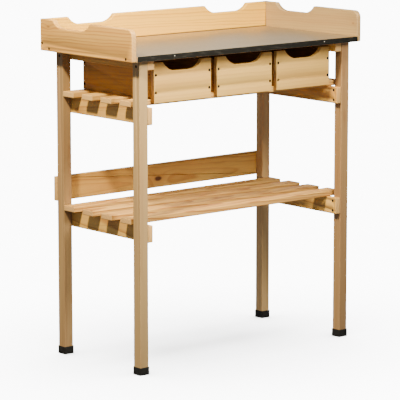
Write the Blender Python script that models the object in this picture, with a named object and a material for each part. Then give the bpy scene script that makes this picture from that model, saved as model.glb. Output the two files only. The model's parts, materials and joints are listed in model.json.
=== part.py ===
"""Potting bench: a pine leg frame with two slatted shelves, a galvanised worktop inside a low
gallery with scooped edges, and three loose drawers that slide on the upper shelf.

Metres, +Z up. The origin is on the ground under the middle of the bench, and the front faces -Y.
"""

import math

import bmesh
import bpy
from mathutils import Matrix, Vector

# Overall size
BENCH_WIDTH = 0.780
BENCH_DEPTH = 0.380
BENCH_HEIGHT = 0.880
GAP = 0.0003  # left between pieces that touch

# Legs and their rubber shoes
LEG = 0.027
LEG_ARRIS = 0.0015
FRAME_WIDTH = 0.716  # over the outer faces of the legs
FRAME_FRONT = -0.176
FRAME_BACK = 0.165
LEG_TOP = 0.798
SHOE_HEIGHT = 0.020
SHOE_WALL = 0.0018
SHOE_FLOOR = 0.0025
SHOE_CORNER = 0.0016  # radius of the hollow's corners

# Rails that tie a front leg to the back leg behind it, on the inside of the frame
SHELF_RAIL = (0.016, 0.044)  # width and height
TOP_RAIL = (0.022, 0.024)
RAIL_ARRIS = 0.0025
RAIL_SETBACK = 0.001
UPPER_SHELF = 0.680  # top of the shelf rails
LOWER_SHELF = 0.382

# Slats lie across the shelf rails
SLAT = (0.044, 0.015)
SLAT_ARRIS = 0.0025
SLAT_PITCH = 0.078
BACK_SLAT = 0.115  # middle of the rearmost slat
SLATS = 4

# Rail across the rear faces of the back legs
BACK_RAIL = (0.015, 0.064)
BACK_RAIL_BOTTOM = 0.404

# Worktop: a plywood panel in a folded zinc sheet
BOARD = 0.015  # thickness of the gallery boards
SHEET = 0.0008
SHEET_TOP = 0.8125
SHEET_LIP = 0.0135
SHEET_BEND = 0.0012  # outer radius of the fold

# Gallery: two side boards and a back board, scooped along the top
SIDE_BOARD_FRONT = -0.187
SIDE_BOARD_CORNER = 0.018
BACK_BOARD = 0.0670  # height; half a millimetre stays open over the level of the sheet
SCOOP_DEPTH = 0.020
SCOOP_RADIUS = 0.050
SCOOP_HALF = 0.076
SIDE_SCOOP_Y = 0.060
BACK_SCOOP_X = 0.232
ARC_STEPS = 6

# Drawers: the front covers the ends of the sides and hangs over the front slat
DRAWER_CENTRES = {"left": -0.1985, "middle": 0.0090, "right": 0.2135}
DRAWER_WIDTH = 0.188
DRAWER_WALL = 0.012
DRAWER_ARRIS = 0.001
FRONT_FACE = -0.1535
FRONT_BOTTOM = 0.6857
FRONT_HEIGHT = 0.102
FRONT_SCOOP_DEPTH = 0.0235
FRONT_SCOOP_HALF = 0.064
DRAWER_BACK = 0.137
SIDE_HEIGHT = 0.085
FLOOR_THICK = 0.005
FLOOR_LIFT = 0.003
GROOVE = 0.006  # depth of the groove in the front that takes the floor

# Countersunk screws
HEAD_RADIUS = 0.0033
HEAD_DEPTH = 0.0020
SHANK_RADIUS = 0.0018
SCREW_SIDES = 12
BORE_PLAY = 0.0003
SCREW_CREASE = math.radians(35)
GALLERY_SCREW = 0.040  # length, also of the corner screws
GALLERY_SCREW_Z = 0.8050
GALLERY_SCREW_Y = (-0.162, 0.153)
CORNER_SCREW_Z = 0.8175
LEG_SCREW = 0.038
LEG_SCREW_Z = 0.785


def clear_scene():
    for old in list(bpy.data.objects):
        bpy.data.objects.remove(old, do_unlink=True)


def finish(name, colour, roughness, metallic=0.0):
    """A Principled material of one colour."""
    material = bpy.data.materials.new(name)
    material.use_nodes = True
    shader = material.node_tree.nodes["Principled BSDF"]
    shader.inputs["Base Color"].default_value = (*colour, 1.0)
    shader.inputs["Roughness"].default_value = roughness
    shader.inputs["Metallic"].default_value = metallic
    return material


def place(name, mesh_data, material, location=(0, 0, 0)):
    """Puts a bmesh into the scene as one named object with its faces pointing out."""
    bmesh.ops.recalc_face_normals(mesh_data, faces=mesh_data.faces)
    mesh = bpy.data.meshes.new(name)
    mesh_data.to_mesh(mesh)
    mesh_data.free()
    mesh.materials.append(material)
    obj = bpy.data.objects.new(name, mesh)
    obj.location = location
    bpy.context.scene.collection.objects.link(obj)
    return obj


def prism(outline, start, end):
    """Extrudes an outline of (u, v) points from w = start to w = end, in (u, v, w)."""
    solid = bmesh.new()
    ring = [solid.verts.new((u, v, start)) for u, v in outline]
    face = solid.faces.new(ring)
    moved = bmesh.ops.extrude_face_region(solid, geom=[face])["geom"]
    lifted = [item for item in moved if isinstance(item, bmesh.types.BMVert)]
    bmesh.ops.translate(solid, verts=lifted, vec=(0, 0, end - start))
    return solid


def turn_to(solid, along):
    """Turns a prism so that its length runs along X or Y; its (u, v) become (Y, Z) or (X, Z)."""
    if along == "X":
        turned = Matrix(((0, 0, 1), (1, 0, 0), (0, 1, 0)))
    elif along == "Y":
        turned = Matrix(((1, 0, 0), (0, 0, 1), (0, 1, 0)))
    else:
        turned = Matrix.Identity(3)
    bmesh.ops.transform(solid, matrix=turned.to_4x4(), verts=solid.verts)
    return solid


def arc(centre, radius, first, last, steps):
    """Points on a circle from the first angle to the last, in degrees, both ends included."""
    points = []
    for step in range(steps + 1):
        angle = math.radians(first + (last - first) * step / steps)
        points.append((centre[0] + radius * math.cos(angle), centre[1] + radius * math.sin(angle)))
    return points


def rectangle(low, high):
    (u0, v0), (u1, v1) = low, high
    return [(u0, v0), (u1, v0), (u1, v1), (u0, v1)]


def rounded_rectangle(low, high, radius, steps=2):
    (u0, v0), (u1, v1) = low, high
    return (
        arc((u1 - radius, v1 - radius), radius, 0, 90, steps)
        + arc((u0 + radius, v1 - radius), radius, 90, 180, steps)
        + arc((u0 + radius, v0 + radius), radius, 180, 270, steps)
        + arc((u1 - radius, v0 + radius), radius, 270, 360, steps)
    )


def bar(name, along, low, high, arris, material):
    """A planed length of timber between two corners, with rounded edges along its length."""
    first, second = [axis for axis in "XYZ" if axis != along]
    index = {"X": 0, "Y": 1, "Z": 2}
    corner_low = (low[index[first]], low[index[second]])
    corner_high = (high[index[first]], high[index[second]])
    outline = rounded_rectangle(corner_low, corner_high, arris)
    solid = prism(outline, low[index[along]], high[index[along]])
    return place(name, turn_to(solid, along), material)


def scoop(middle, top, depth, radius, half, steps=ARC_STEPS):
    """The dip in a board's top edge from its +u end to its -u end: an arc, a flat and an arc."""
    run = math.sqrt(2 * radius * depth - depth * depth)
    sweep = math.degrees(math.asin(run / radius))
    flat = half - run
    centre_v = top - depth + radius
    right = arc((middle + flat, centre_v), radius, 270 + sweep, 270, steps)
    left = arc((middle - flat, centre_v), radius, 270, 270 - sweep, steps)
    return right + left


def screw_body(grow, length):
    """A countersunk screw turned about Z, its head's face at z = 0 and its point at -length."""
    profile = [
        (0.0, 0.0),
        (HEAD_RADIUS + grow, 0.0),
        (SHANK_RADIUS + grow, -HEAD_DEPTH),
        (SHANK_RADIUS + grow, SHANK_RADIUS - length),
        (0.0, -length),
    ]
    solid = bmesh.new()
    verts = [solid.verts.new((radius, 0, height)) for radius, height in profile]
    edges = [solid.edges.new(pair) for pair in zip(verts, verts[1:])]
    bmesh.ops.spin(
        solid,
        geom=verts + edges,
        axis=(0, 0, 1),
        cent=(0, 0, 0),
        angle=2 * math.pi,
        steps=SCREW_SIDES,
        use_merge=True,
    )
    bmesh.ops.remove_doubles(solid, verts=solid.verts, dist=1e-6)
    return solid


def bore_cutter(name, position, direction, length):
    """The hole that a screw stands in, run a little past the face so that the cut is clean."""
    solid = screw_body(BORE_PLAY, length + BORE_PLAY)
    for vert in solid.verts:
        if vert.co.z > -1e-6:
            vert.co.z = BORE_PLAY
    cutter = place(name, solid, STEEL)
    set_along(cutter, position, direction)
    cutter.hide_render = True
    cutter.display_type = "WIRE"
    return cutter


def set_along(obj, position, direction):
    """Stands an object at a point with its -Z axis along the way that the screw is driven."""
    obj.location = position
    obj.rotation_euler = Vector(direction).to_track_quat("-Z", "Y").to_euler()


def drive_screw(name, position, direction, length, hosts):
    """One screw and the holes for it in the pieces that it joins."""
    screw = place(name, screw_body(0.0, length), STEEL)
    set_along(screw, position, direction)
    for polygon in screw.data.polygons:
        polygon.use_smooth = True
    screw.data.set_sharp_from_angle(angle=SCREW_CREASE)
    cutter = bore_cutter("bore_for_" + name, position, direction, length)
    for host in hosts:
        cut = host.modifiers.new("bore_" + name, "BOOLEAN")
        cut.object = cutter
        cut.operation = "DIFFERENCE"
        cut.solver = "EXACT"


def side_sign(side):
    """-1 on the left, where x is negative, and 1 on the right."""
    return -1 if side == "left" else 1


def ordered(a, b):
    return (a, b) if a < b else (b, a)


def make_leg(side, end):
    sign = side_sign(side)
    x0, x1 = ordered(sign * FRAME_WIDTH / 2, sign * (FRAME_WIDTH / 2 - LEG))
    y0 = FRAME_FRONT if end == "front" else FRAME_BACK - LEG
    low = (x0, y0, SHOE_FLOOR + GAP)
    high = (x1, y0 + LEG, LEG_TOP)
    return bar(f"leg_{end}_{side}", "Z", low, high, LEG_ARRIS, LEG_WOOD)


def make_shoe(side, end):
    """A moulded rubber shoe: a square tray that the foot of the leg stands in."""
    sign = side_sign(side)
    centre_x = sign * (FRAME_WIDTH - LEG) / 2
    centre_y = FRAME_FRONT + LEG / 2 if end == "front" else FRAME_BACK - LEG / 2
    inner = LEG / 2 + GAP
    outer = inner + SHOE_WALL
    outline_out = rounded_rectangle((-outer, -outer), (outer, outer), SHOE_CORNER + SHOE_WALL)
    outline_in = rounded_rectangle((-inner, -inner), (inner, inner), SHOE_CORNER)
    tray = bmesh.new()

    def ring(outline, height):
        return [tray.verts.new((u, v, height)) for u, v in outline]

    loops = [
        ring(outline_out, 0.0),
        ring(outline_out, SHOE_HEIGHT),
        ring(outline_in, SHOE_HEIGHT),
        ring(outline_in, SHOE_FLOOR),
    ]
    tray.faces.new(loops[0])
    tray.faces.new(loops[-1])
    for lower, upper in zip(loops, loops[1:]):
        for i in range(len(lower)):
            j = (i + 1) % len(lower)
            tray.faces.new((lower[i], lower[j], upper[j], upper[i]))
    return place(f"shoe_{end}_{side}", tray, RUBBER, (centre_x, centre_y, 0))


def make_side_rail(name, side, width, height, top):
    sign = side_sign(side)
    face = FRAME_WIDTH / 2 - LEG - GAP
    x0, x1 = ordered(sign * face, sign * (face - width))
    low = (x0, FRAME_FRONT + RAIL_SETBACK, top - height)
    high = (x1, FRAME_BACK - RAIL_SETBACK, top)
    return bar(f"{name}_{side}", "Y", low, high, RAIL_ARRIS, PINE)


def make_slat(shelf, number, bed):
    middle = BACK_SLAT - (number - 1) * SLAT_PITCH
    low = (-FRAME_WIDTH / 2, middle - SLAT[0] / 2, bed + GAP)
    high = (FRAME_WIDTH / 2, middle + SLAT[0] / 2, bed + GAP + SLAT[1])
    return bar(f"{shelf}_slat_{number}", "X", low, high, SLAT_ARRIS, PINE)


def make_back_rail():
    y0 = FRAME_BACK + GAP
    low = (-FRAME_WIDTH / 2, y0, BACK_RAIL_BOTTOM)
    high = (FRAME_WIDTH / 2, y0 + BACK_RAIL[0], BACK_RAIL_BOTTOM + BACK_RAIL[1])
    return bar("back_rail", "X", low, high, RAIL_ARRIS, PINE)


def make_worktop_panel():
    half = BENCH_WIDTH / 2 - BOARD - GAP
    front = -BENCH_DEPTH / 2 + SHEET + GAP
    outline = rectangle((-half, front), (half, BENCH_DEPTH / 2))
    solid = prism(outline, LEG_TOP + GAP, SHEET_TOP - SHEET - GAP)
    return place("worktop_panel", solid, PLY)


def make_worktop_sheet():
    """An L in section: flat on the panel up to the back board, with its front edge folded down."""
    front = -BENCH_DEPTH / 2
    rear = BENCH_DEPTH / 2 - BOARD - GAP
    fold_centre = (front + SHEET_BEND, SHEET_TOP - SHEET_BEND)
    outside = arc(fold_centre, SHEET_BEND, 180, 90, 3)
    outline = [(front, SHEET_TOP - SHEET_LIP)] + outside + [
        (rear, SHEET_TOP),
        (rear, SHEET_TOP - SHEET),
        (front + SHEET, SHEET_TOP - SHEET),
        (front + SHEET, SHEET_TOP - SHEET_LIP),
    ]
    half = BENCH_WIDTH / 2 - BOARD - GAP
    solid = turn_to(prism(outline, -half, half), "X")
    return place("worktop_sheet", solid, ZINC)


def make_gallery_side(side):
    """Outline in (Y, Z), with the scoop in its top edge and a large round at its front corner."""
    corner = SIDE_BOARD_CORNER
    top = BENCH_HEIGHT
    outline = [(SIDE_BOARD_FRONT, LEG_TOP), (BENCH_DEPTH / 2, LEG_TOP), (BENCH_DEPTH / 2, top)]
    outline += scoop(SIDE_SCOOP_Y, top, SCOOP_DEPTH, SCOOP_RADIUS, SCOOP_HALF)
    outline += arc((SIDE_BOARD_FRONT + corner, top - corner), corner, 90, 180, ARC_STEPS)
    sign = side_sign(side)
    x0, x1 = ordered(sign * BENCH_WIDTH / 2, sign * (BENCH_WIDTH / 2 - BOARD))
    solid = turn_to(prism(outline, x0, x1), "X")
    return place(f"gallery_board_{side}", solid, PINE)


def make_gallery_back():
    half = BENCH_WIDTH / 2 - BOARD - GAP
    top = BENCH_HEIGHT
    bottom = top - BACK_BOARD
    outline = [(-half, bottom), (half, bottom), (half, top)]
    outline += scoop(BACK_SCOOP_X, top, SCOOP_DEPTH, SCOOP_RADIUS, SCOOP_HALF)
    outline += scoop(-BACK_SCOOP_X, top, SCOOP_DEPTH, SCOOP_RADIUS, SCOOP_HALF)
    outline += [(-half, top)]
    solid = turn_to(prism(outline, BENCH_DEPTH / 2 - BOARD, BENCH_DEPTH / 2), "Y")
    return place("gallery_board_back", solid, PINE)


def cut_groove(which, front, slide, low, high):
    """A groove along the whole inner face of a drawer front, from height low to height high."""
    reach = DRAWER_WIDTH / 2 + GROOVE
    outline = rectangle((-reach, DRAWER_WALL - GROOVE), (reach, DRAWER_WALL + GROOVE))
    cutter = place(f"groove_for_drawer_{which}", prism(outline, low, high), PINE)
    cutter.hide_render = True
    cutter.display_type = "WIRE"
    cutter.parent = slide
    cut = front.modifiers.new("groove", "BOOLEAN")
    cut.object = cutter
    cut.operation = "DIFFERENCE"
    cut.solver = "EXACT"


def make_drawer(which, centre):
    """Five boards about an empty that carries the drawer along its slide."""
    slide = bpy.data.objects.new(f"drawer_{which}_slide", None)
    slide.location = (centre, FRONT_FACE, FRONT_BOTTOM)
    bpy.context.scene.collection.objects.link(slide)
    half = DRAWER_WIDTH / 2
    bed = UPPER_SHELF + GAP + SLAT[1] + GAP - FRONT_BOTTOM
    depth = DRAWER_BACK - FRONT_FACE
    floor = bed + FLOOR_LIFT

    pieces = []
    outline = [(-half, 0), (half, 0), (half, FRONT_HEIGHT)]
    outline += scoop(0, FRONT_HEIGHT, FRONT_SCOOP_DEPTH, SCOOP_RADIUS, FRONT_SCOOP_HALF)
    outline += [(-half, FRONT_HEIGHT)]
    solid = turn_to(prism(outline, 0, DRAWER_WALL), "Y")
    front = place(f"drawer_{which}_front", solid, FRONT_PINE)
    cut_groove(which, front, slide, floor - GAP, floor + FLOOR_THICK + GAP)
    pieces.append(front)

    wall_front = DRAWER_WALL + GAP
    for side in ("left", "right"):
        sign = side_sign(side)
        u0, u1 = ordered(sign * half, sign * (half - DRAWER_WALL))
        panel = bar(
            f"drawer_{which}_side_{side}",
            "Y",
            (u0, wall_front, bed),
            (u1, depth, bed + SIDE_HEIGHT),
            DRAWER_ARRIS,
            PINE,
        )
        pieces.append(panel)

    inner = half - DRAWER_WALL - GAP
    back = bar(
        f"drawer_{which}_back",
        "X",
        (-inner, depth - DRAWER_WALL, bed),
        (inner, depth, bed + SIDE_HEIGHT),
        DRAWER_ARRIS,
        PINE,
    )
    pieces.append(back)
    floor_front = DRAWER_WALL - GROOVE + GAP
    floor_outline = rectangle((-inner, floor_front), (inner, depth - DRAWER_WALL - GAP))
    solid = prism(floor_outline, floor, floor + FLOOR_THICK)
    pieces.append(place(f"drawer_{which}_floor", solid, PLY))
    for piece in pieces:
        piece.parent = slide


clear_scene()
PINE = finish("pine", (0.71, 0.52, 0.33), 0.6)
FRONT_PINE = finish("pine_fronts", (0.73, 0.55, 0.36), 0.6)
LEG_WOOD = finish("pine_legs", (0.70, 0.53, 0.35), 0.6)
PLY = finish("plywood", (0.72, 0.58, 0.40), 0.65)
ZINC = finish("galvanised_sheet", (0.55, 0.54, 0.52), 0.35, 1.0)
RUBBER = finish("black_rubber", (0.02, 0.02, 0.02), 0.7)
STEEL = finish("screw_steel", (0.12, 0.09, 0.06), 0.45, 0.9)

legs = {}
top_rails = {}
for side in ("left", "right"):
    for end in ("front", "back"):
        legs[side, end] = make_leg(side, end)
        make_shoe(side, end)
    top_rails[side] = make_side_rail("top_rail", side, *TOP_RAIL, LEG_TOP)
    make_side_rail("upper_shelf_rail", side, *SHELF_RAIL, UPPER_SHELF)
    make_side_rail("lower_shelf_rail", side, *SHELF_RAIL, LOWER_SHELF)

for number in range(1, SLATS + 1):
    make_slat("upper", number, UPPER_SHELF)
    make_slat("lower", number, LOWER_SHELF)
make_back_rail()

panel = make_worktop_panel()
make_worktop_sheet()
back_board = make_gallery_back()
side_boards = {side: make_gallery_side(side) for side in ("left", "right")}

for side in ("left", "right"):
    sign = side_sign(side)
    inward = (-sign, 0, 0)
    board_face = sign * BENCH_WIDTH / 2
    for end, y in zip(("front", "back"), GALLERY_SCREW_Y):
        name = f"gallery_screw_{end}_{side}"
        spot = (board_face, y, GALLERY_SCREW_Z)
        drive_screw(name, spot, inward, GALLERY_SCREW, (side_boards[side], panel))
    corner = (board_face, (BENCH_DEPTH - BOARD) / 2, CORNER_SCREW_Z)
    drive_screw(f"corner_screw_{side}", corner, inward, GALLERY_SCREW, (side_boards[side], back_board))
    leg_face = sign * FRAME_WIDTH / 2
    for end, y in (("front", FRAME_FRONT + LEG / 2), ("back", FRAME_BACK - LEG / 2)):
        name = f"leg_screw_{end}_{side}"
        spot = (leg_face, y, LEG_SCREW_Z)
        drive_screw(name, spot, inward, LEG_SCREW, (legs[side, end], top_rails[side]))

for which, centre in DRAWER_CENTRES.items():
    make_drawer(which, centre)
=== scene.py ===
import json
import math

import bpy
import numpy as np
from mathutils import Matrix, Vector
from mathutils.geometry import tessellate_polygon


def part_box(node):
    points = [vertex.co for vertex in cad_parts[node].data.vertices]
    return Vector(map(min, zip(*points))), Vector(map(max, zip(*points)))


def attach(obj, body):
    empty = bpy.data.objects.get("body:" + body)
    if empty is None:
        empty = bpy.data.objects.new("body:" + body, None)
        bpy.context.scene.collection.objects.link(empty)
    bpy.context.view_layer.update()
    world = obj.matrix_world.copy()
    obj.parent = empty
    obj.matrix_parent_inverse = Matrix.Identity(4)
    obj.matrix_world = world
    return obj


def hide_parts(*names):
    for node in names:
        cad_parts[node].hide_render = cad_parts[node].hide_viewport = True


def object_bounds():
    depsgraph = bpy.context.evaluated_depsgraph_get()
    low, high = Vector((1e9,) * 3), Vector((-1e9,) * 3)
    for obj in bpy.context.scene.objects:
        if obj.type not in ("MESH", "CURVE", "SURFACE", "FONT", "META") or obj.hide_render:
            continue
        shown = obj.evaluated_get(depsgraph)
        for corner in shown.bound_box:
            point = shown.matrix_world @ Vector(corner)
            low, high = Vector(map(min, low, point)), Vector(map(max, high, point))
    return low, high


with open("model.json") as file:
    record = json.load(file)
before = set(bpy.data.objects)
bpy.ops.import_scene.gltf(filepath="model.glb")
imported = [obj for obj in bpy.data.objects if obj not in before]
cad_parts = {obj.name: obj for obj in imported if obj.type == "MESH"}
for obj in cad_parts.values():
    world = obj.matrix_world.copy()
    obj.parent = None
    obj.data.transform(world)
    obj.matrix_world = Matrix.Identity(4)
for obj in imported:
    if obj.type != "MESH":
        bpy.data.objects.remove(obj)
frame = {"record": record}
cad_low, cad_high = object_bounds()


# ---------------------------------------------------------------- The studio
# A pale floor, a warm key lamp high on the left that throws clear shadows, a large soft panel in
# front, a pale wall glowing behind, and a lamp for the floor alone that keeps the ground pale.

WORLD_GLOW = 0.33
WORLD_COLOUR = (1.0, 0.97, 0.93, 1.0)
WARM = (1.0, 0.89, 0.66)
SUNNY = (1.0, 0.85, 0.54)
NEARLY_WHITE = (1.0, 0.97, 0.92)
FLOOR_HALF = 40.0
CAMERA_LENS = 230.3
CAMERA_AZIMUTH = math.radians(-40.26)
CAMERA_ELEVATION = math.radians(9.67)
CAMERA_DISTANCE = 6.752
AIM_RIGHT = -0.0091
AIM_UP = -0.0503

world = bpy.data.worlds.new("studio")
world.use_nodes = True
world.node_tree.nodes["Background"].inputs["Color"].default_value = WORLD_COLOUR
world.node_tree.nodes["Background"].inputs["Strength"].default_value = WORLD_GLOW
bpy.context.scene.world = world


class Wire:
    """A socket in a material; adding, multiplying and so on adds the Math node that does it."""

    def __init__(self, graph, socket):
        self.graph = graph
        self.socket = socket

    def maths(self, operation, *values):
        return self.graph.node("ShaderNodeMath", {"operation": operation}, dict(enumerate(values)))

    def alone(self, operation):
        """A function of this value alone, such as its sine, its size or its fraction."""
        return self.maths(operation, self)

    def __add__(self, other):
        return self.maths("ADD", self, other)

    def __sub__(self, other):
        return self.maths("SUBTRACT", self, other)

    def __mul__(self, other):
        return self.maths("MULTIPLY", self, other)

    def __truediv__(self, other):
        return self.maths("DIVIDE", self, other)

    def __pow__(self, other):
        return self.maths("POWER", self, other)

    def __rsub__(self, other):
        return self.maths("SUBTRACT", other, self)

    __radd__ = __add__
    __rmul__ = __mul__

    def least(self, other):
        return self.maths("MINIMUM", self, other)

    def most(self, other):
        return self.maths("MAXIMUM", self, other)

    def ramp(self, low, high):
        """0 up to low, 1 from high, and a smooth rise between."""
        sockets = {"Value": self, "From Min": low, "From Max": high}
        return self.graph.node("ShaderNodeMapRange", {"interpolation_type": "SMOOTHSTEP"}, sockets)


class Finish:
    """One material about a Principled shader."""

    def __init__(self, name, **fixed):
        self.material = bpy.data.materials.new(name)
        self.material.use_nodes = True
        self.tree = self.material.node_tree
        self.shader = self.tree.nodes["Principled BSDF"]
        for socket, value in fixed.items():
            self.shader.inputs[socket.replace("_", " ")].default_value = value

    def node(self, kind, settings=None, sockets=None, out=0):
        """Adds a node, applies its settings, then sets or links its sockets; gives one output."""
        made = self.tree.nodes.new(kind)
        for key, value in (settings or {}).items():
            setattr(made, key, value)
        for key, value in (sockets or {}).items():
            if isinstance(value, Wire):
                self.tree.links.new(value.socket, made.inputs[key])
            else:
                made.inputs[key].default_value = value
        return Wire(self, made.outputs[out])

    def attribute(self, name, out="Vector"):
        return self.node("ShaderNodeAttribute", {"attribute_name": name}, out=out)

    def parts(self, vector):
        split = vector.graph.node("ShaderNodeSeparateXYZ", None, {0: vector})
        outputs = split.socket.node.outputs
        return [Wire(self, outputs[i]) for i in range(3)]

    def vector(self, x, y, z):
        return self.node("ShaderNodeCombineXYZ", None, {0: x, 1: y, 2: z})

    def stretched(self, vector, factors):
        return self.node("ShaderNodeVectorMath", {"operation": "MULTIPLY"}, {0: vector, 1: factors})

    def noise(self, vector, detail=2.0, scale=1.0, roughness=0.5):
        sockets = {"Vector": vector, "Scale": scale, "Detail": detail, "Roughness": roughness}
        return self.node("ShaderNodeTexNoise", None, sockets)

    def mix(self, mask, below, above):
        """Colour below where mask is 0 and above where it is 1."""
        below = (*below, 1.0) if isinstance(below, tuple) else below
        above = (*above, 1.0) if isinstance(above, tuple) else above
        sockets = {"Factor": mask, 6: below, 7: above}
        return self.node("ShaderNodeMix", {"data_type": "RGBA"}, sockets, out=2)

    def feed(self, **links):
        for socket, wire in links.items():
            self.tree.links.new(wire.socket, self.shader.inputs[socket.replace("_", " ")])

    def bump(self, height, distance, strength=1.0):
        sockets = {"Height": height, "Distance": distance, "Strength": strength}
        self.feed(Normal=self.node("ShaderNodeBump", None, sockets))


def floor_sheet():
    """A flat square on the ground."""
    corners = FLOOR_HALF * np.array([(-1, -1, 0), (1, -1, 0), (1, 1, 0), (-1, 1, 0)], float)
    mesh = bpy.data.meshes.new("floor")
    mesh.from_pydata(corners.tolist(), [], [(0, 1, 2, 3)])
    floor = bpy.data.objects.new("floor", mesh)
    bpy.context.scene.collection.objects.link(floor)
    paper = Finish("pale_paper", Roughness=0.9, Specular_IOR_Level=0.1)
    here = paper.node("ShaderNodeTexCoord", None, None, out="Object")
    cloud = paper.noise(here, scale=3.0)
    paper.feed(Base_Color=paper.mix(cloud, (0.90, 0.90, 0.90), (0.93, 0.93, 0.93)))
    mesh.materials.append(paper.material)
    floor.visible_diffuse = False
    floor.visible_glossy = False
    return floor


def lamp(name, power, place, aim, size, colour=WARM):
    """A square panel of light at a place, turned towards its aim."""
    light = bpy.data.lights.new(name, "AREA")
    light.energy = power
    light.size = size
    light.color = colour
    obj = bpy.data.objects.new(name, light)
    obj.location = place
    obj.rotation_euler = (Vector(place) - Vector(aim)).to_track_quat("Z", "Y").to_euler()
    obj.visible_camera = False
    bpy.context.scene.collection.objects.link(obj)
    return obj


floor = floor_sheet()
key = lamp(
    "key_lamp", power=195.0, place=(-1.63, -0.63, 2.50), aim=(-0.1, 0.0, 0.6), size=0.20, colour=SUNNY
)
front = lamp("soft_panel", power=20.0, place=(-0.02, -1.60, 2.12), aim=(-0.30, 0.0, 0.65), size=0.36)
front.data.shape = "RECTANGLE"
front.data.size_y = 1.10
front.data.spread = math.radians(64)
wall = lamp(
    "glowing_wall", power=26.0, place=(1.70, 3.40, 1.10), aim=(0.0, 0.0, 0.7), size=2.60,
    colour=NEARLY_WHITE,
)
ground = bpy.data.objects.new("ground_lamp", bpy.data.lights.new("ground_lamp", "SUN"))
ground.data.energy = 38.0
ground.data.angle = math.radians(70)
bpy.context.scene.collection.objects.link(ground)
for light, state in ((key, "EXCLUDE"), (front, "EXCLUDE"), (wall, "EXCLUDE"), (ground, "INCLUDE")):
    group = bpy.data.collections.new(light.name + "_floor")
    group.objects.link(floor)
    group.collection_objects[0].light_linking.link_state = state
    light.light_linking.receiver_collection = group

level = math.cos(CAMERA_ELEVATION)
towards_camera = Vector(
    (math.sin(CAMERA_AZIMUTH) * level, -math.cos(CAMERA_AZIMUTH) * level, math.sin(CAMERA_ELEVATION))
)
turn = towards_camera.to_track_quat("Z", "Y")
middle = (cad_low + cad_high) / 2
camera = bpy.data.objects.new("camera", bpy.data.cameras.new("camera"))
camera.data.lens = CAMERA_LENS
camera.data.clip_end = 120
camera.location = middle + turn @ Vector((AIM_RIGHT, AIM_UP, CAMERA_DISTANCE))
camera.rotation_euler = turn.to_euler()
bpy.context.scene.collection.objects.link(camera)
bpy.context.scene.camera = camera


# ---------------------------------------------------------------- Legs
# Square pine posts, planed all round with the edges just broken, cut square at both ends. A screw
# near the top of each goes inwards into the top rail. Each post's tone is painted light and shade,
# and the back right post uses a lighter copy of the pine as painted bounce light in its shade.

LEG_EDGE = 0.0018
SHOULDER = 0.0006  # flat strip beside a rounded edge, so that it shades crisply
FOOT_BREAK = 0.30  # how much of the rounding is left on a square foot
HOLE_RIM = 0.0040  # radius of a screw's seat at the face of the board
HOLE_SEAT = 0.0037  # and at its floor
HOLE_DEPTH = 0.0014
HOLE_LEAD = 0.0002  # broken edge round the rim
HOLE_STEPS = 16
HEAD_RADIUS = 0.0036
AXIS = {"X": 0, "Y": 1, "Z": 2}
NO_KNOT = (99.0, 99.0, 0.01)  # far off the board
draw = np.random.default_rng(11)  # every random draw comes from here


def offset_rings(outline, depths):
    """Closed outlines moved inwards by each depth; a corner moves along its mitre, which is the sum
    of its two edges' inward normals over one plus their dot product."""
    ahead = np.roll(outline, -1, 0) - outline
    ahead /= np.linalg.norm(ahead, axis=1)[:, None]
    inward = np.stack([-ahead[:, 1], ahead[:, 0]], 1)
    before = np.roll(inward, 1, 0)
    mitre = (inward + before) / (1 + (inward * before).sum(1))[:, None]
    return outline[None] + np.asarray(depths)[:, None, None] * mitre[None]


def quarter_round(radius, steps):
    """Depth inwards and height up of a rounded edge, from the flat face to the side: the radius
    less its sine and its cosine."""
    turn_by = np.linspace(0, math.pi / 2, steps + 1)
    return radius * (1 - np.sin(turn_by)), radius * (1 - np.cos(turn_by))


def board_mesh(outline, thick, edge, holes=(), steps=4, square_foot=False):
    """A board: its outline (u, v), carried through the thickness w with a quarter-round at both
    faces. Each hole (u, v, face) is a dished seat for a screw head. square_foot keeps the edge
    along the lowest v nearly sharp. Gives points and faces."""
    inset, rise = quarter_round(edge, steps)
    depths = np.concatenate([[edge + SHOULDER], inset, [0.0]])
    heights = np.concatenate([[0.0], rise, [edge + SHOULDER]])
    depths = np.concatenate([depths, depths[::-1]])
    heights = np.concatenate([heights, thick - heights[::-1]])
    rings = offset_rings(outline, depths)
    count, around = rings.shape[:2]
    if square_foot:
        lowest = outline[:, 1].min()
        foot = outline[:, 1] < lowest + 1e-6
        rings[:, foot, 1] = lowest + FOOT_BREAK * (rings[:, foot, 1] - lowest)
    points = np.concatenate(
        [rings.reshape(-1, 2), np.repeat(heights, around)[:, None]], axis=1
    ).tolist()
    at = np.arange(count * around).reshape(count, around)
    quads = np.stack([at[:-1], np.roll(at[:-1], -1, 1), np.roll(at[1:], -1, 1), at[1:]], -1)
    faces = quads.reshape(-1, 4).tolist()
    for face, ring in ((0, at[0]), (1, at[-1])):
        loops = [ring.tolist()]
        level, inward = (0.0, 1.0) if face == 0 else (thick, -1.0)
        for u, v, where in holes:
            if where == face:
                loops.append(sink_seat(points, faces, (u, v), level, inward))
        order = [index for loop in loops for index in loop]
        if len(loops) == 1:
            faces.append(order[::-1] if face == 0 else order)
            continue
        flat = [[Vector((*points[index][:2], 0.0)) for index in loop] for loop in loops]
        for a, b, c in tessellate_polygon(flat):
            triangle = [order[a], order[b], order[c]]
            faces.append(facing(points, triangle, -inward))
    return np.array(points), faces


def facing(points, triangle, up):
    """The triangle's corners in the order that makes it face +w or -w."""
    a, b, c = (np.array(points[index][:2]) for index in triangle)
    turns = (b[0] - a[0]) * (c[1] - a[1]) - (b[1] - a[1]) * (c[0] - a[0])
    return triangle if turns * up > 0 else triangle[::-1]


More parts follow.
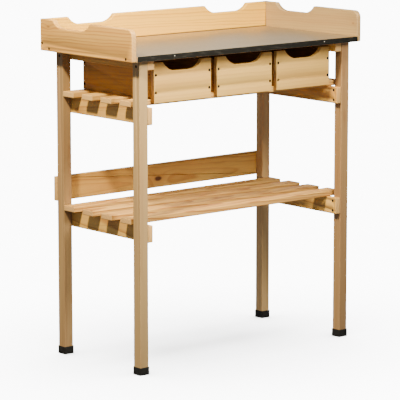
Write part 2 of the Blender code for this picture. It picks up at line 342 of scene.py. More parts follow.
def sink_seat(points, faces, centre, level, inward):
    """A round seat below a flat face: circles for the rim, its broken edge and the floor. Gives the
    rim's point numbers."""
    around = np.linspace(0, 2 * math.pi, HOLE_STEPS, endpoint=False)
    rim = np.stack([np.cos(around), np.sin(around)], 1)
    first = len(points)
    for radius, depth in ((HOLE_RIM, 0), (HOLE_RIM - HOLE_LEAD, HOLE_LEAD), (HOLE_SEAT, HOLE_DEPTH)):
        height = level + inward * depth
        points.extend([(centre[0] + radius * x, centre[1] + radius * y, height) for x, y in rim])
    at = first + np.arange(3 * HOLE_STEPS).reshape(3, HOLE_STEPS)
    wall = np.stack([at[:-1], at[1:], np.roll(at[1:], -1, 1), np.roll(at[:-1], -1, 1)], -1)
    wall = wall if inward > 0 else wall[..., ::-1]
    faces.extend(wall.reshape(-1, 4).tolist())
    floor_ring = at[2].tolist()
    faces.append(floor_ring[::-1] if inward > 0 else floor_ring)
    return at[0].tolist()


def rectangle(low, high, corner=0.0, steps=4):
    """Counter-clockwise outline of a rectangle. With a radius, each corner is a quarter circle."""
    (u0, v0), (u1, v1) = low, high
    if not corner:
        return np.array([(u0, v0), (u1, v0), (u1, v1), (u0, v1)])
    left, right, below, above = u0 + corner, u1 - corner, v0 + corner, v1 - corner
    arcs = []
    for k, (u, v) in enumerate(((right, above), (left, above), (left, below), (right, below))):
        swing = np.linspace(0, math.pi / 2, steps + 1) + k * math.pi / 2
        arcs.append(np.stack([u + corner * np.cos(swing), v + corner * np.sin(swing)], 1))
    return np.concatenate(arcs)


def piece_from(name, points, faces, material):
    """A smooth-shaded mesh object at the origin, made of points and faces."""
    mesh = bpy.data.meshes.new(name)
    mesh.from_pydata(points.tolist(), [], faces)
    mesh.polygons.foreach_set("use_smooth", np.ones(len(mesh.polygons), bool))
    mesh.materials.append(material)
    mesh.update()
    obj = bpy.data.objects.new(name, mesh)
    bpy.context.scene.collection.objects.link(obj)
    return obj


def add_grain(obj, along, wide, pith, slope=(0.0, 0.0), knot=None, tone=None, heart=1.0):
    """Stores where each point lies in the log: metres along the fibres, then across the wide face
    and through the thickness from the pith. slope tilts the pith along the board, which draws
    arches on its face. knot is (x, y, z, radius) and heart how dark it is; tone is how dark and how
    red the board is, which on some boards is also painted light and shade."""
    mesh = obj.data
    co = np.empty(len(mesh.vertices) * 3)
    mesh.vertices.foreach_get("co", co)
    co = co.reshape(-1, 3)
    centre = (co.min(0) + co.max(0)) / 2
    axes = [AXIS[along], AXIS[wide], 3 - AXIS[along] - AXIS[wide]]
    shift = draw.uniform(1.0, 9.0)

    def in_log(places):
        local = (places - centre)[..., axes]
        lengthwise = local[..., 0]
        across = local[..., 1] + pith[0] + slope[0] * lengthwise
        through = local[..., 2] + pith[1] + slope[1] * lengthwise
        return np.stack([lengthwise + shift, across, through], -1)

    def store(label, kind, field, values):
        layer = mesh.attributes.new(label, kind, "POINT")
        layer.data.foreach_set(field, np.ascontiguousarray(values, np.float32).ravel())

    store("grain", "FLOAT_VECTOR", "vector", in_log(co))
    fibres = np.zeros((len(co), 3))
    fibres[:, axes[0]] = 1.0
    store("fibres", "FLOAT_VECTOR", "vector", fibres)
    spot = np.array(NO_KNOT)
    if knot is not None:
        place = in_log(np.array(knot[:3], float))
        spot = np.array([place[0], place[1], knot[3]])
    store("knot", "FLOAT_VECTOR", "vector", np.tile(spot, (len(co), 1)))
    dark_red = (draw.uniform(0.3, 0.7), draw.uniform(0.2, 0.6)) if tone is None else tone
    store("tone", "FLOAT_VECTOR", "vector", np.tile((*dark_red, heart), (len(co), 1)))
    return obj


END_GRAIN = (0.57, 0.365, 0.165)
KNOT_HALO = (0.40, 0.17, 0.04)
KNOT_HEART = (0.085, 0.028, 0.008)
# Painted shade: the colour of the dark line along the back board's foot, where it meets the sheet.
FOOT_SHADE = (0.10, 0.050, 0.018)
RING_DRIFT = 0.012  # how far slow noise pushes the rings
RING_WAVE = 0.0055  # and quicker noise
KNOT_SQUEEZE = 0.55  # distances along the fibres count for less, so that a knot lies long


def pine(name, light, dark, red, ring_width=0.0085, contrast=1.35, streaky=1.1, foot=None):
    """Planed softwood. Rings are circles about the pith, pushed about by slow noise: each fades
    from pale early wood to a thin darker line. Fine streaks run with the fibres, and round a knot
    the rings swell outwards about a brown heart. Below the height foot lies a painted shadow line."""
    wood = Finish(name, Specular_IOR_Level=0.35)
    grain = wood.attribute("grain")
    length, across, through = wood.parts(grain)
    knot_length, knot_across, knot_size = wood.parts(wood.attribute("knot"))
    darkness, redness, knot_depth = wood.parts(wood.attribute("tone"))

    du = (length - knot_length) * KNOT_SQUEEZE
    dv = across - knot_across
    away = (du * du + dv * dv) ** 0.5 / knot_size
    swell = (away * away * -0.32).alone("EXPONENT")
    slow = wood.noise(wood.stretched(grain, (1.6, 13.0, 13.0)), detail=1.0) - 0.5
    wave = wood.noise(wood.stretched(grain, (13.0, 34.0, 34.0)), detail=1.0) - 0.5
    radius = (across * across + through * through) ** 0.5 + slow * RING_DRIFT + wave * RING_WAVE
    radius = radius + swell * knot_size * 1.1
    uneven = wood.noise(wood.vector(radius * 60.0, length * 0.1, 3.0), detail=1.0) - 0.5
    count = radius / ring_width + uneven * 1.6
    part = count.alone("FRACT")
    late = (part ** 3.5).least((1.0 - part) * 8.0)
    boldness = wood.noise(wood.vector(count * 0.37, 0.0, 7.0), detail=0.0).ramp(0.3, 0.7) * 0.7 + 0.3

    streaks = wood.noise(wood.stretched(grain, (3.5, 210.0, 210.0)), detail=3.0, roughness=0.6)
    fibre = wood.noise(wood.stretched(grain, (22.0, 900.0, 900.0)), detail=2.0)
    cloud = wood.noise(wood.stretched(grain, (2.4, 16.0, 16.0)), detail=2.0)
    blush = wood.noise(wood.stretched(grain, (3.0, 30.0, 30.0)), detail=1.0)
    normal = wood.node("ShaderNodeNewGeometry", None, None, out="Normal")
    directions = {0: normal, 1: wood.attribute("fibres")}
    endwise = wood.node("ShaderNodeVectorMath", {"operation": "DOT_PRODUCT"}, directions, out="Value")
    end = endwise.alone("ABSOLUTE").ramp(0.6, 0.9)

    depth = late * boldness * contrast
    depth = depth + (streaks - 0.5) * (streaky * 0.60) + (cloud - 0.5) * (streaky * 0.55)
    depth = depth + (fibre - 0.5) * 0.16 + (darkness - 0.5) * 0.8 + 0.18
    colour = wood.mix(depth.most(0.0).least(1.0), light, dark)
    flush = (redness + (blush - 0.5) * 1.6 + late * boldness * 0.3).most(0.0).least(1.0)
    colour = wood.mix(flush * 0.55, colour, red)
    colour = wood.mix(end * (0.62 - late * 0.25), colour, END_GRAIN)
    halo = (1.0 - away.ramp(0.5, 2.4)) * 0.45
    heart = 1.0 - away.ramp(0.35, 0.8)
    colour = wood.mix(halo * knot_depth, colour, KNOT_HALO)
    colour = wood.mix(heart * knot_depth, colour, KNOT_HEART)
    if foot is not None:
        height = wood.parts(wood.node("ShaderNodeTexCoord", None, None, out="Object"))[2]
        # Painted shade: a dark line in the lowest few millimetres of the board, where it meets the sheet.
        foot_shade = 1.0 - height.ramp(foot + 0.0012, foot + 0.0030)
        colour = wood.mix(foot_shade * 0.85, colour, FOOT_SHADE)
    wood.feed(Base_Color=colour, Roughness=0.60 + (fibre - 0.5) * 0.18 - late * 0.08)
    wood.bump(late * 0.5 + streaks * 0.5 + fibre * 0.35 - end * fibre, 0.00022, 0.55)
    return wood.material


def screw_steel():
    """Phosphated steel with a little brown in it, drawn near-black: partly its own dark colour, partly
    painted shade of the sunken seat round each head.
    """
    steel = Finish("screw_steel", Specular_IOR_Level=0.12)
    here = steel.node("ShaderNodeTexCoord", None, None, out="Object")
    rub = steel.noise(here, scale=900.0, detail=3.0)
    # Partly painted shade: the near-black colour also stands in for the shade in each screw's sunken seat.
    steel.feed(Base_Color=steel.mix(rub, (0.004, 0.003, 0.0025), (0.014, 0.009, 0.006)))
    steel.feed(Roughness=0.60 + rub * 0.25)
    return steel.material


def screw_heads(name, places, out, radius=HEAD_RADIUS, dome=0.0002, sunk=0.0006):
    """Countersunk heads on one face: discs whose height is the dome less a cross-shaped recess,
    as a function of distance from the middle and angle. out is the face's outward axis and sign."""
    rings, around = 12, 32
    r = radius * np.linspace(0, 1, rings + 1)[1:]
    turn_by = np.linspace(0, 2 * math.pi, around, endpoint=False)
    grid_r, grid_t = np.meshgrid(r, turn_by, indexing="ij")
    x, y = grid_r * np.cos(grid_t), grid_r * np.sin(grid_t)
    slot_half, slot_reach, slot_depth = 0.16 * radius, 0.62 * radius, 0.0009  # the recess

    def recess(px, py):
        wide = np.clip((slot_half - np.minimum(abs(px), abs(py))) / (0.35 * slot_half) + 0.5, 0, 1)
        reach = np.clip((slot_reach - np.hypot(px, py)) / (0.2 * slot_reach) + 0.5, 0, 1)
        return slot_depth * wide * reach

    top = dome * (1 - (grid_r / radius) ** 2) - recess(x, y) - sunk
    skirt = np.stack([x[-1] * 0.9, y[-1] * 0.9, np.full(around, -HOLE_DEPTH - 0.0002)], -1)
    middle_point = np.array([[0.0, 0.0, dome - slot_depth - sunk]])
    one = np.concatenate([middle_point, np.stack([x, y, top], -1).reshape(-1, 3), skirt])
    at = 1 + np.arange((rings + 1) * around).reshape(rings + 1, around)
    walls = np.stack([at[:-1], at[1:], np.roll(at[1:], -1, 1), np.roll(at[:-1], -1, 1)], -1)
    faces = walls.reshape(-1, 4).tolist()
    faces += [(0, at[0, i], at[0, (i + 1) % around]) for i in range(around)]
    faces.append(at[-1].tolist()[::-1])
    axis, sign = out
    a, b = [(1, 2), (2, 0), (0, 1)][axis]
    points, all_faces = [], []
    for place in places:
        spin = draw.uniform(0, math.pi / 2)
        u = one[:, 0] * math.cos(spin) - one[:, 1] * math.sin(spin)
        v = one[:, 0] * math.sin(spin) + one[:, 1] * math.cos(spin)
        world_points = np.empty_like(one)
        world_points[:, a] = u + place[a]
        world_points[:, b] = sign * v + place[b]
        world_points[:, axis] = sign * one[:, 2] + place[axis]
        base = len(points) * len(one)
        points.append(world_points)
        all_faces += [[int(index) + base for index in face] for face in faces]
    obj = piece_from(name, np.concatenate(points), all_faces, STEEL)
    return obj


def board(
    name, node, wide_axis, material, slot, edge,
    corner=0.0, screws=(), outline=None, square_foot=False, **grain
):
    """A straight piece of timber in the place of a CAD node. Its face outline lies across the
    thinnest axis; screws are (place, sign) on the faces across that axis."""
    low, high = (np.array(corner_point) for corner_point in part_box(node))
    along = grain.pop("along")
    thin = 3 - AXIS[along] - AXIS[wide_axis]
    a, b = AXIS[along], AXIS[wide_axis]
    right_handed = (a, b, thin) in ((0, 1, 2), (1, 2, 0), (2, 0, 1))
    if outline is None:
        outline = rectangle((low[a], low[b]), (high[a], high[b]), corner)
    holes = []
    for place, sign in screws:
        holes.append((place[a], place[b], 1 if sign > 0 else 0))
    points, faces = board_mesh(outline, high[thin] - low[thin], edge, holes, square_foot=square_foot)
    placed = np.empty_like(points)
    placed[:, a], placed[:, b] = points[:, 0], points[:, 1]
    placed[:, thin] = points[:, 2] + low[thin]
    if not right_handed:
        faces = [face[::-1] for face in faces]
    obj = piece_from(name, placed, faces, material)
    add_grain(obj, along, wide_axis, **grain)
    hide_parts(node)
    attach(obj, body_of_node[node])
    return obj


body_of_node = {
    node: body
    for body, nodes in frame["record"]["behaviour"]["bodies"].items()
    for node in nodes
}
LEG_FIGURE = {"ring_width": 0.0060, "contrast": 0.5, "streaky": 1.0}
LEG_PINE = pine("leg_pine", (0.36, 0.245, 0.115), (0.19, 0.112, 0.049), (0.28, 0.137, 0.060), **LEG_FIGURE)
# Painted light: a lighter copy of the leg pine for the back right post, standing in for the bounce light it
# gets in the shade under the worktop.
BOUNCE_LIT_LEG_PINE = pine(
    "bounce_lit_leg_pine", (0.56, 0.370, 0.165), (0.32, 0.185, 0.075), (0.46, 0.225, 0.090), **LEG_FIGURE
)
STEEL = screw_steel()
# Painted light and shade: each post's darkness and redness, set to how much light reaches it.
LEG_SHADE_TONES = {
    ("left", "front"): (0.25, 0.05),
    ("left", "back"): (0.70, 0.45),
    ("right", "front"): (0.75, 0.75),
    ("right", "back"): (0.10, 0.15),
}
for side, sign in (("left", -1), ("right", 1)):
    for end in ("front", "back"):
        node = f"leg_{end}_{side}"
        low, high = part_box(node)
        screw_low, screw_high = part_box(f"leg_screw_{end}_{side}")
        face_x = low.x if sign < 0 else high.x
        spot = Vector((face_x, (screw_low.y + screw_high.y) / 2, (screw_low.z + screw_high.z) / 2))
        wood = BOUNCE_LIT_LEG_PINE if (side, end) == ("right", "back") else LEG_PINE
        board(
            f"leg_post_{end}_{side}", node, "Y", wood, "leg_wood", LEG_EDGE, LEG_EDGE,
            screws=[(spot, sign)], along="Z", pith=(draw.uniform(0.03, 0.07), draw.uniform(-0.01, 0.03)),
            slope=(draw.uniform(-0.006, 0.006), draw.uniform(-0.012, 0.012)), tone=LEG_SHADE_TONES[side, end],
        )
        heads = screw_heads(f"leg_screw_head_{end}_{side}", [spot], (0, sign))
        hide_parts(f"leg_screw_{end}_{side}")
        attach(heads, "root")


# ---------------------------------------------------------------- Shoes
# Black rubber shoes, moulded as square trays with a flared lip, pushed over the foot of each leg
# to keep the end grain off wet ground.

SHOE_CORNER = 0.0035
SHOE_CLEARANCE = 0.0002  # between the leg and the shoe
SHOE_LIP = 0.0034  # height of the flared band round the top
SHOE_FLOOR = 0.0028


def moulded_rubber():
    """Black rubber with a fine moulded tooth and faint patches of dust."""
    rubber = Finish("moulded_rubber", Specular_IOR_Level=0.3)
    here = rubber.node("ShaderNodeTexCoord", None, None, out="Object")
    tooth = rubber.noise(here, scale=1400.0, detail=2.0)
    dust = rubber.noise(here, scale=60.0, detail=3.0).ramp(0.45, 0.8)
    rubber.feed(Base_Color=rubber.mix(dust * 0.5, (0.006, 0.006, 0.0065), (0.018, 0.018, 0.017)))
    rubber.feed(Roughness=0.52 + tooth * 0.2)
    rubber.bump(tooth, 0.0001, 0.4)
    return rubber.material


def shoe_mesh(low, high, leg_low):
    """A tray: rounded-square rings carried up the outside, over the lip and down the inside. Each
    step is how far the ring lies inside the outer square, and its height."""
    outer = rectangle(low[:2], high[:2], SHOE_CORNER, 6)
    wall = leg_low[0] - SHOE_CLEARANCE - low[0]
    tall = high[2] - low[2]
    path = [(0.0024, 0), (0.0016, 0), (0.0006, 0.0004), (0.0, 0.0012), (0.0002, tall / 2)]
    path += [(0.0002, tall - SHOE_LIP - 0.0006), (0.0, tall - SHOE_LIP)]
    path += [(0.0, tall - 0.0008), (0.0003, tall - 0.0002), (0.0008, tall)]
    path += [(wall - 0.0005, tall), (wall, tall - 0.0005), (wall, SHOE_FLOOR)]
    depths, heights = np.array(path).T
    rings = offset_rings(outer, depths)
    count, around = rings.shape[:2]
    points = np.concatenate([rings.reshape(-1, 2), np.repeat(heights, around)[:, None]], 1)
    at = np.arange(count * around).reshape(count, around)
    faces = np.stack([at[:-1], np.roll(at[:-1], -1, 1), np.roll(at[1:], -1, 1), at[1:]], -1)
    faces = faces.reshape(-1, 4).tolist()
    faces.append(at[0].tolist()[::-1])
    faces.append(at[-1].tolist())
    return points, faces


RUBBER = moulded_rubber()
for side in ("left", "right"):
    for end in ("front", "back"):
        node = f"shoe_{end}_{side}"
        leg_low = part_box(f"leg_{end}_{side}")[0]
        points, faces = shoe_mesh(*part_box(node), leg_low)
        shoe = piece_from(f"rubber_shoe_{end}_{side}", points, faces, RUBBER)
        shoe.data.set_sharp_from_angle(angle=math.radians(40))
        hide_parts(node)
        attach(shoe, "root")


# ---------------------------------------------------------------- Rails
# Rails tie each front leg to the leg behind it, on the inside of the frame. The shelf rails are
# screwed twice at each end through their inner face; the top rails are held by the leg screws.

RAIL_EDGE = 0.0022
RAIL_SCREW_INSET = 0.0090

PINE = pine("pine", (0.66, 0.405, 0.105), (0.33, 0.155, 0.034), (0.56, 0.250, 0.065))


def rail_screws(node, sign):
    """Two places at each end, at the middle of the leg behind the rail, on the inner face."""
    low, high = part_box(node)
    inner = high.x if sign < 0 else low.x
    places = []
    for end in ("front", "back"):
        leg_low, leg_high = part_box(f"leg_{end}_" + ("left" if sign < 0 else "right"))
        for z in (low.z + RAIL_SCREW_INSET, high.z - RAIL_SCREW_INSET):
            places.append(Vector((inner, (leg_low.y + leg_high.y) / 2, z)))
    return places


for side, sign in (("left", -1), ("right", 1)):
    board(
        f"top_rail_bar_{side}", f"top_rail_{side}", "Z", PINE, "pine", RAIL_EDGE, RAIL_EDGE,
        along="Y", pith=(0.05, 0.02), slope=(0.01, 0.02),
    )
    for shelf in ("upper", "lower"):
        node = f"{shelf}_shelf_rail_{side}"
        places = rail_screws(node, sign)
        board(
            f"{shelf}_rail_bar_{side}", node, "Z", PINE, "pine", RAIL_EDGE, RAIL_EDGE,
            screws=[(place, -sign) for place in places], along="Y",
            pith=(draw.uniform(-0.02, 0.02), draw.uniform(0.03, 0.06)),
            slope=(0.0, draw.uniform(0.03, 0.07)),
        )
        heads = screw_heads(f"{shelf}_rail_screws_{side}", places, (0, -sign))
        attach(heads, "root")


# ---------------------------------------------------------------- Slats
# Four slats to a shelf, laid across the rails with gaps for the soil to fall through. They are
# cut flush with the outer faces of the legs, from boards with a close, bold grain.

SLAT_EDGE = 0.0024
SLAT_CORNER = 0.0012
# Painted light and shade: the lower shelf's slats are drawn darker for the shade of the worktop over them,
# the upper ones lighter.
SLAT_SHADE_TONES = {"upper": 0.05, "lower": 0.70}
SLAT_PINE = pine(
    "slat_pine", (0.66, 0.400, 0.120), (0.27, 0.120, 0.030), (0.54, 0.240, 0.065),
    ring_width=0.0066, contrast=1.90, streaky=0.9,
)

for shelf in ("upper", "lower"):
    for number in range(1, 5):
        node = f"{shelf}_slat_{number}"
        board(
            f"{shelf}_slat_board_{number}", node, "Y", SLAT_PINE, "pine", SLAT_EDGE, SLAT_CORNER,
            along="X", pith=(draw.uniform(-0.012, 0.012), draw.uniform(0.02, 0.05)),
            slope=(draw.uniform(-0.01, 0.01), draw.uniform(0.02, 0.05)), tone=(SLAT_SHADE_TONES[shelf], 0.35),
        )


# ---------------------------------------------------------------- Back rail
# One deeper rail across the rear faces of the back legs, just over the lower shelf, with two
# screws into each leg from behind. It has a sound knot near its middle.

BACK_RAIL_EDGE = 0.0015  # radius of its ends' corners
BACK_SCREW_INSET = 0.016
RAIL_KNOT = {"x": -0.019, "up": 0.024, "radius": 0.011}

low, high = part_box("back_rail")
rail_places = []
for side in ("left", "right"):
    leg_low, leg_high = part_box(f"leg_back_{side}")
    for z in (low.z + BACK_SCREW_INSET, high.z - BACK_SCREW_INSET):
        rail_places.append(Vector(((leg_low.x + leg_high.x) / 2, high.y, z)))
board(
    "back_rail_board", "back_rail", "Z", PINE, "pine", RAIL_EDGE, BACK_RAIL_EDGE,
    screws=[(place, 1) for place in rail_places], along="X", pith=(0.012, 0.030), slope=(0.008, 0.045),
    knot=(RAIL_KNOT["x"], low.y, low.z + RAIL_KNOT["up"], RAIL_KNOT["radius"]), tone=(0.78, 0.35),
)
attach(screw_heads("back_rail_screws", rail_places, (1, 1)), "root")


# ---------------------------------------------------------------- Worktop
# A softwood plywood panel under one galvanised sheet. The sheet is folded down over the front
# edge, where its fold, drawn near-black as a painted dark reflection, is nailed to the panel with
# two bright nails and two dull ones.

SHEET_THICK = 0.0008
FOLD_RADIUS = 0.0012
PLY_LAYER = 0.0052
PANEL_CORNER = 0.0006
PANEL_ARRIS = 0.0005
BRIGHT_NAIL_X = 0.255
DULL_NAIL_X = 0.100
NAIL_ABOVE_MIDDLE = 0.001
NAIL_SINK = 0.00005


def plywood():
    """Sanded plywood: pale faces with long streaks, and dark and pale plies along its edges."""
    ply = Finish("plywood", Specular_IOR_Level=0.3)
    here = ply.node("ShaderNodeTexCoord", None, None, out="Object")
    z = ply.parts(here)[2]
    streaks = ply.noise(ply.stretched(here, (5.0, 160.0, 160.0)), detail=3.0)
    layers = (z * (2 * math.pi / PLY_LAYER)).alone("SINE")
    normal = ply.node("ShaderNodeNewGeometry", None, None, out="Normal")
    up = ply.parts(normal)[2]
    edge = 1.0 - up.alone("ABSOLUTE").ramp(0.3, 0.6)
    depth = streaks * 0.6 + layers.ramp(-0.2, 0.4) * edge * 0.5
    ply.feed(Base_Color=ply.mix(depth.least(1.0), (0.66, 0.48, 0.28), (0.44, 0.27, 0.13)))
    ply.feed(Roughness=0.62 + streaks * 0.1)
    ply.bump(streaks, 0.0001, 0.4)
    return ply.material


def zinc():
    """Skin-passed galvanised steel: faint spangle in the gloss and rolling marks along the sheet."""
    metal = Finish("galvanised_sheet", Metallic=1.0)
    here = metal.node("ShaderNodeTexCoord", None, None, out="Object")
    spangle = metal.node(
        "ShaderNodeTexVoronoi", {"feature": "F1"}, {"Vector": here, "Scale": 140.0}, out="Color"
    )
    cell = metal.parts(spangle)[0]
    rolled = metal.noise(metal.stretched(here, (3.0, 260.0, 260.0)), detail=3.0)
    cloud = metal.noise(here, scale=9.0, detail=3.0)
    metal.feed(Base_Color=metal.mix(cloud * 0.6 + cell * 0.2, (0.545, 0.465, 0.345), (0.455, 0.39, 0.29)))
    metal.feed(Roughness=0.38 + cell * 0.05 + cloud * 0.08 + rolled * 0.04)
    metal.bump(rolled, 0.00004, 0.3)
    return metal.material


def fold_painted_reflection():
    """The sheet's folded front strip, drawn near-black as a painted dark reflection, with paler scuffs
    along it.
    """
    metal = Finish("fold_painted_reflection", Metallic=0.6, Specular_IOR_Level=0.3)
    here = metal.node("ShaderNodeTexCoord", None, None, out="Object")
    scuff = metal.noise(metal.stretched(here, (30.0, 220.0, 220.0)), detail=4.0).ramp(0.5, 0.85)
    # Painted reflection: the near-black base colour stands in for the dark reflection on the forward-facing
    # fold.
    metal.feed(Base_Color=metal.mix(scuff, (0.014, 0.014, 0.0135), (0.050, 0.050, 0.047)))
    metal.feed(Roughness=0.50 + scuff * 0.15)
    return metal.material


def folded_sheet(low, high, thick):
    """An L-shaped section, carried along X. The fold is a quarter circle between the flat and the
    front strip. Gives points, faces and which faces belong to the front strip."""
    bend = np.linspace(math.pi, math.pi / 2, 7)
    front, top, rear, bottom = low[1], high[2], high[1], low[2]
    outside = [(front, bottom + 0.0003), (front, bottom + 0.0010)]
    outside += [
        (front + FOLD_RADIUS * (1 + math.cos(a)), top + FOLD_RADIUS * (math.sin(a) - 1)) for a in bend
    ]
    outside += [(front + 0.0030, top), (rear - 0.0010, top), (rear - 0.0001, top), (rear, top - 0.0001)]
    inner = FOLD_RADIUS - thick
    inside = [(rear, top - thick), (front + 0.0030, top - thick)]
    inside += [
        (front + FOLD_RADIUS + inner * math.cos(a), top - FOLD_RADIUS + inner * math.sin(a))
        for a in bend[::-1]
    ]
    inside += [(front + thick, bottom + 0.0003), (front + thick - 0.0003, bottom), (front + 0.0003, bottom)]
    section = np.array(outside + inside)
    inner_stations = np.linspace(low[0] + 0.05, high[0] - 0.05, 12)
    stations = np.array([low[0], low[0] + 0.0005, *inner_stations, high[0] - 0.0005, high[0]])
    grid_x, grid_s = np.meshgrid(stations, np.arange(len(section)), indexing="ij")
    points = np.concatenate([grid_x.reshape(-1, 1), section[grid_s.ravel()]], 1)
    at = np.arange(grid_x.size).reshape(grid_x.shape)
    quads = np.stack([at[:-1], np.roll(at[:-1], -1, 1), np.roll(at[1:], -1, 1), at[1:]], -1)
    faces = quads.reshape(-1, 4).tolist()
    faces.append(at[0].tolist()[::-1])
    faces.append(at[-1].tolist())
    dark = (points[:, 1] < front + FOLD_RADIUS * 0.75) & (points[:, 2] < top - 0.0001)
    strip = [bool(dark[list(face)].all()) for face in faces]
    return points, faces, strip


PLY = plywood()
ZINC = zinc()
PAINTED_FOLD = fold_painted_reflection()
low, high = (np.array(corner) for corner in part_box("worktop_panel"))
points, faces = board_mesh(rectangle(low[:2], high[:2], PANEL_CORNER, 2), high[2] - low[2], PANEL_ARRIS)
points[:, 2] += low[2]
panel = piece_from("worktop_board", points, faces, PLY)
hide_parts("worktop_panel")
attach(panel, "root")

low, high = (np.array(corner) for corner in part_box("worktop_sheet"))
points, faces, strip = folded_sheet(low, high, SHEET_THICK)
sheet = piece_from("folded_sheet", points, faces, ZINC)
sheet.data.materials.append(PAINTED_FOLD)
sheet.data.polygons.foreach_set("material_index", np.array(strip, np.int32))
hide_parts("worktop_sheet")
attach(sheet, "root")


def nail_heads(name, places, material, radius=0.0018, rise=0.0006):
    """Round domed heads on the front fold: a quarter ellipse turned about the Y axis."""
    steps, around = 6, 20
    swing = np.linspace(0, math.pi / 2, steps + 1)
    profile = np.stack([radius * np.sin(swing), rise * np.cos(swing)], 1)
    turn_by = np.linspace(0, 2 * math.pi, around, endpoint=False)
    ring_x = profile[1:, 0, None] * np.cos(turn_by)
    ring_z = profile[1:, 0, None] * np.sin(turn_by)
    ring_y = np.repeat(-profile[1:, 1, None], around, 1)
    one = np.concatenate([[(0.0, -rise, 0.0)], np.stack([ring_x, ring_y, ring_z], -1).reshape(-1, 3)])
    at = 1 + np.arange(steps * around).reshape(steps, around)
    faces = np.stack([at[:-1], at[1:], np.roll(at[1:], -1, 1), np.roll(at[:-1], -1, 1)], -1)
    faces = faces.reshape(-1, 4).tolist()
    faces += [(0, int(at[0, i]), int(at[0, (i + 1) % around])) for i in range(around)]
    faces.append(at[-1].tolist()[::-1])
    points = np.concatenate([one + np.array(place) for place in places])
    every = [[index + k * len(one) for index in face] for k in range(len(places)) for face in faces]
    return piece_from(name, points, every, material)


def bright_nail():
    """Zinc-plated steel, rubbed brighter in patches."""
    nail = Finish("bright_nail", Metallic=1.0)
    here = nail.node("ShaderNodeTexCoord", None, None, out="Object")
    rub = nail.noise(here, scale=700.0)
    nail.feed(Base_Color=nail.mix(rub, (0.62, 0.60, 0.56), (0.75, 0.73, 0.70)), Roughness=0.25 + rub * 0.2)
    return nail.material


nail_z = (low[2] + high[2]) / 2 + NAIL_ABOVE_MIDDLE
for label, reach, material in (("bright", BRIGHT_NAIL_X, bright_nail()), ("dull", DULL_NAIL_X, STEEL)):
    places = [(x, low[1] + NAIL_SINK, nail_z) for x in (-reach, reach)]
    nails = nail_heads(f"lip_nails_{label}", places, material)
    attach(nails, "root")


# ---------------------------------------------------------------- Gallery
# Three boards stand round the worktop. Their top edges are scooped by a router that also rounds
# every arris; the side boards have large round front corners and cover the back board's ends. The
# back board is yellower, with a painted shadow line along its square foot.

GALLERY_EDGE = 0.0028
SCOOP_DEPTH = 0.020
SCOOP_RADIUS = 0.050
SCOOP_HALF = 0.076
SIDE_SCOOP = 0.060
BACK_SCOOP = 0.232
FRONT_CORNER = 0.018
LOWER_CORNER = 0.003


def scoop(middle_u, top, depth, radius, half, steps=14):
    """A dip in a top edge, from its +u end to its -u end: a circular arc falls to a flat, which
    ends in the same arc back up."""
    run = math.sqrt(2 * radius * depth - depth * depth)
    swing = np.linspace(math.asin(run / radius), 0, steps + 1)
    rise = top - depth + radius * (1 - np.cos(swing))
    right = np.stack([middle_u + half - run + radius * np.sin(swing), rise], 1)
    left = np.stack([middle_u - half + run - radius * np.sin(swing[::-1]), rise[::-1]], 1)
    return np.concatenate([right, left])


def round_corner(centre, radius, first, last, steps=8):
    """An arc about a centre, between two angles in degrees."""
    swing = np.radians(np.linspace(first, last, steps + 1))
    return np.stack([centre[0] + radius * np.cos(swing), centre[1] + radius * np.sin(swing)], 1)


def side_board_outline(low, high):
    """(y, z) from the lower front corner round to the big round at the upper front corner."""
    y0, z0, y1, z1 = low[1], low[2], high[1], high[2]
    return np.concatenate(
        [
            round_corner((y0 + LOWER_CORNER, z0 + LOWER_CORNER), LOWER_CORNER, 180, 270, 4),
            [(y1, z0), (y1, z1)],
            scoop(SIDE_SCOOP, z1, SCOOP_DEPTH, SCOOP_RADIUS, SCOOP_HALF),
            round_corner((y0 + FRONT_CORNER, z1 - FRONT_CORNER), FRONT_CORNER, 90, 180),
        ]
    )


SIDE_WOODS = {"left": PINE, "right": LEG_PINE}
SIDE_TONES = {"left": (0.66, 0.50), "right": (0.40, 0.00)}
# Each side board's knot: its place and radius.
SIDE_KNOTS = {"left": (-0.39, 0.155, 0.862, 0.0055), "right": (0.375, -0.172, 0.846, 0.0045)}
# The back board's pine is darkened below its foot height: a painted shadow line along the sheet.
GOLD_PINE = pine(
    "gold_pine", (0.76, 0.435, 0.050), (0.42, 0.180, 0.016), (0.66, 0.280, 0.032),
    foot=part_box("gallery_board_back")[0].z,
)
for side, sign in (("left", -1), ("right", 1)):
    node = f"gallery_board_{side}"
    low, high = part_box(node)
    places = []
    for screw in (f"gallery_screw_front_{side}", f"gallery_screw_back_{side}", f"corner_screw_{side}"):
        screw_low, screw_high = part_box(screw)
        outer = low.x if sign < 0 else high.x
        spot = Vector((outer, (screw_low.y + screw_high.y) / 2, (screw_low.z + screw_high.z) / 2))
        places.append(spot)
        heads = screw_heads(screw + "_head", [spot], (0, sign))
        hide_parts(screw)
        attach(heads, "root")
    board(
        f"gallery_side_{side}", node, "Z", SIDE_WOODS[side], "pine", GALLERY_EDGE,
        outline=side_board_outline(low, high), screws=[(place, sign) for place in places], along="Y",
        pith=(0.055, 0.03), slope=(0.02, 0.03), tone=SIDE_TONES[side], heart=0.35, knot=SIDE_KNOTS[side],
    )

low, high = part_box("gallery_board_back")
outline = np.concatenate(
    [
        [(low.x, low.z), (high.x, low.z), (high.x, high.z)],
        scoop(BACK_SCOOP, high.z, SCOOP_DEPTH, SCOOP_RADIUS, SCOOP_HALF),
        scoop(-BACK_SCOOP, high.z, SCOOP_DEPTH, SCOOP_RADIUS, SCOOP_HALF),
        [(low.x, high.z)],
    ]
)
board(
    "gallery_back", "gallery_board_back", "Z", GOLD_PINE, "pine", GALLERY_EDGE, outline=outline,
    square_foot=True, along="X", pith=(0.060, 0.025), slope=(0.02, 0.02), tone=(0.10, 0.25),
)


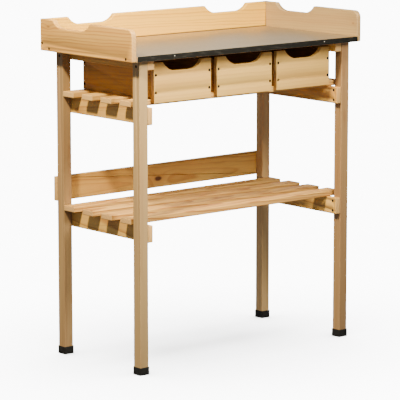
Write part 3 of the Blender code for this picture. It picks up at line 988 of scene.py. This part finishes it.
# ---------------------------------------------------------------- Drawers
# Each drawer is a plain box: the front covers the ends of the sides and is screwed to them, the
# back stands between the sides, and the plywood floor runs into a groove in the front. The fronts
# are pale with a faint grain, the sides brown and darkened as painted shade, darkest on the middle
# and right drawers, whose sides stand in the shaded gaps.

FRONT_EDGE = 0.0012
FRONT_SCOOP_DEPTH = 0.0235
FRONT_SCOOP_HALF = 0.064
FRONT_SCREW_Z = (0.0265, 0.0710)
SIDE_SCREW_Z = (0.014, 0.070)
SIDE_NAIL_Z = (0.004, 0.061)
SIDE_NAIL_Y = 0.0072
SIDE_NAIL_RADIUS = 0.0019
# Painted shade: how dark each drawer's side panels are drawn, standing in for the shade under the worktop
# and in the gaps between the drawers.
DRAWER_SIDE_SHADE = {"left": 0.95, "middle": 1.60, "right": 1.60}
SIDE_EDGE = 0.0010  # also of the back
FLOOR_CORNER = 0.0004
FLOOR_EDGE = 0.0003

FRONT_PINE = pine(
    "drawer_front_pine", (0.74, 0.485, 0.135), (0.46, 0.265, 0.066), (0.66, 0.34, 0.090),
    contrast=0.50, streaky=0.45,
)
CALM_PINE = pine(
    "calm_pine", (0.62, 0.375, 0.085), (0.27, 0.120, 0.022), (0.46, 0.200, 0.045),
    contrast=0.55, streaky=1.2,
)
for which in ("left", "middle", "right"):
    body = f"drawer_{which}"
    low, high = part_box(f"{body}_front")
    side_low, side_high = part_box(f"{body}_side_left")
    half_wall = (side_high.x - side_low.x) / 2
    front_places = [
        Vector((x, low.y, low.z + up))
        for x in (low.x + half_wall, high.x - half_wall)
        for up in FRONT_SCREW_Z
    ]
    outline = np.concatenate(
        [
            [(low.x, low.z), (high.x, low.z), (high.x, high.z)],
            scoop((low.x + high.x) / 2, high.z, FRONT_SCOOP_DEPTH, SCOOP_RADIUS, FRONT_SCOOP_HALF),
            [(low.x, high.z)],
        ]
    )
    board(
        f"{body}_front_board", f"{body}_front", "Z", FRONT_PINE, "drawer_front", FRONT_EDGE,
        outline=outline, screws=[(place, -1) for place in front_places], along="X",
        pith=(draw.uniform(0.07, 0.10), draw.uniform(0.03, 0.05)),
        slope=(draw.uniform(-0.03, 0.03), draw.uniform(0.0, 0.03)),
    )
    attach(screw_heads(f"{body}_front_screws", front_places, (1, -1)), body)
    for side, sign in (("left", -1), ("right", 1)):
        node = f"{body}_side_{side}"
        low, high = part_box(node)
        back_low, back_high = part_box(f"{body}_back")
        outer = low.x if sign < 0 else high.x
        places = [Vector((outer, (back_low.y + back_high.y) / 2, low.z + up)) for up in SIDE_SCREW_Z]
        board(
            f"{node}_panel", node, "Z", CALM_PINE, "pine", SIDE_EDGE,
            screws=[(place, sign) for place in places], along="Y",
            pith=(0.04, 0.04), slope=(0.02, draw.uniform(0.03, 0.06)), tone=(DRAWER_SIDE_SHADE[which], 0.6),
        )
        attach(screw_heads(f"{node}_screws", places, (0, sign)), body)
        nail_places = [Vector((outer, low.y + SIDE_NAIL_Y, low.z + up)) for up in SIDE_NAIL_Z]
        nail = {"radius": SIDE_NAIL_RADIUS, "dome": 0.0003, "sunk": -0.0002}
        pins = screw_heads(f"{node}_nails", nail_places, (0, sign), **nail)
        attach(pins, body)
    board(
        f"{body}_back_panel", f"{body}_back", "Z", PINE, "pine", SIDE_EDGE,
        along="X", pith=(0.02, 0.05), slope=(0.01, 0.03),
    )
    low, high = (np.array(corner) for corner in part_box(f"{body}_floor"))
    points, faces = board_mesh(rectangle(low[:2], high[:2], FLOOR_CORNER, 2), high[2] - low[2], FLOOR_EDGE)
    points[:, 2] += low[2]
    bottom = piece_from(f"{body}_floor_panel", points, faces, PLY)
    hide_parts(f"{body}_floor")
    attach(bottom, body)
